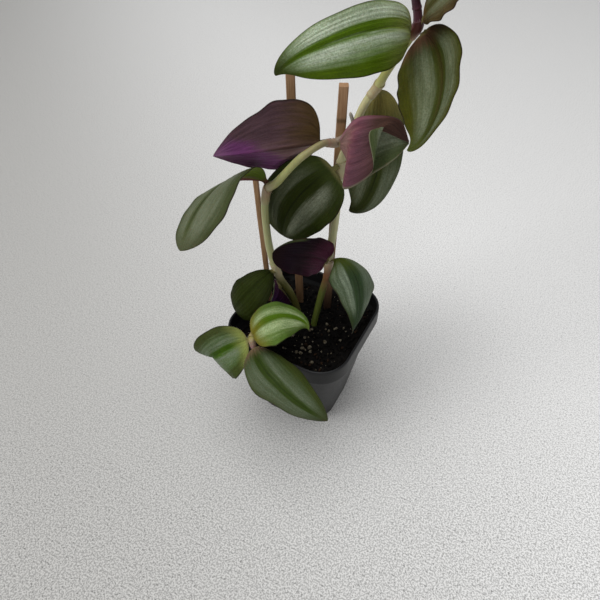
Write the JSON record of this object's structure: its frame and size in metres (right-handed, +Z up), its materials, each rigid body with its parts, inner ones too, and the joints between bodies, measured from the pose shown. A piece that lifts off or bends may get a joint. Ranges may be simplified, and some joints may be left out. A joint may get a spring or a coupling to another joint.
{
  "type": "potted tradescantia",
  "caption": "Young tradescantia with striped green and purple leaves on thin stems, staked with bamboo sticks in a small square black nursery pot of soil.",
  "frame": {"origin": "middle of the pot's base, on the surface it stands on", "axes": "+Z up, X and Y along the sides of the square pot"},
  "size_m": [0.0853, 0.0811, 0.2015],
  "materials": {
    "pot_plastic": "satin",
    "potting_soil": "matte",
    "bamboo": "matte",
    "stem_green": "satin",
    "stem_olive": "satin",
    "leaf_green": "satin",
    "leaf_fresh": "satin",
    "leaf_dark": "satin",
    "leaf_olive": "satin",
    "leaf_purple": "satin"
  },
  "bodies": {
    "root": {"pot": "pot_plastic", "soil": "potting_soil", "stick_left": "bamboo", "stick_middle": "bamboo", "stick_right": "bamboo", "stem_left": "stem_green", "stem_right": "stem_green", "stem_low": "stem_olive", "leaf_top_left": "leaf_green", "leaf_top_right": "leaf_olive", "leaf_top_young": "leaf_olive", "leaf_top_newest": "leaf_purple", "leaf_right_hanging": "leaf_dark", "leaf_purple": "leaf_purple", "leaf_left_drooping": "leaf_green", "leaf_centre": "leaf_dark", "leaf_dark": "leaf_purple", "leaf_right_low": "leaf_green", "leaf_left_low": "leaf_dark", "leaf_small": "leaf_purple", "leaf_shoot_inner": "leaf_fresh", "leaf_shoot_left": "leaf_fresh", "leaf_shoot_front": "leaf_green", "leaf_folded": "leaf_purple"}
  },
  "joints": []
}
